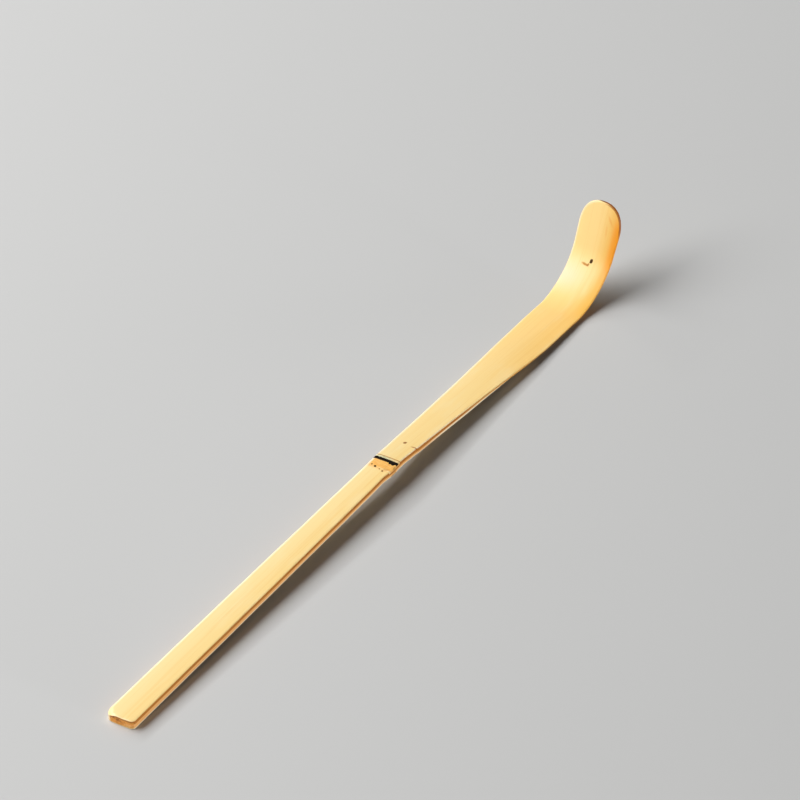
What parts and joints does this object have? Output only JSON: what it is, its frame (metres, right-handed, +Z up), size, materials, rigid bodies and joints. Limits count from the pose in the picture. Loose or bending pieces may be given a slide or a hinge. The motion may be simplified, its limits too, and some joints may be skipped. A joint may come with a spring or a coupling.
{
  "type": "bamboo tea scoop",
  "caption": "Slim bamboo strip scoop for powdered tea: flat handle, a node with a dark scar at the arch, and a widened, rounded end bent steeply upwards.",
  "frame": {"origin": "on the table under the middle of the scoop's overall box, as it lies at rest", "axes": "+X along the scoop from the handle's cut end to the scooping end, +Y across the strip, +Z up"},
  "size_m": [0.185, 0.011, 0.0219],
  "materials": {
    "bamboo_skin": "polished bamboo skin, satin",
    "toasted_skin": "heat-bent bamboo skin, satin",
    "bamboo_wood": "knife-cut bamboo, matt to satin",
    "node_band": "orange node ring, satin",
    "scar_bark": "black dry sheath scar, matt",
    "ridge_skin": "pale ridge, satin",
    "root_bud": "dark dry root buds, matt",
    "septum_wood": "pared cross wall, matt"
  },
  "bodies": {
    "root": {"handle_rind": "bamboo_skin", "handle_wood": "bamboo_wood", "intranode_band": "node_band", "sheath_scar": "scar_bark", "scar_ridge": "ridge_skin", "root_dots": "root_bud", "node_wood": "bamboo_wood", "diaphragm_stub": "septum_wood", "blade_rind": "bamboo_skin", "blade_wood": "bamboo_wood", "scoop_rind": "toasted_skin", "scoop_wood": "bamboo_wood"}
  },
  "joints": []
}
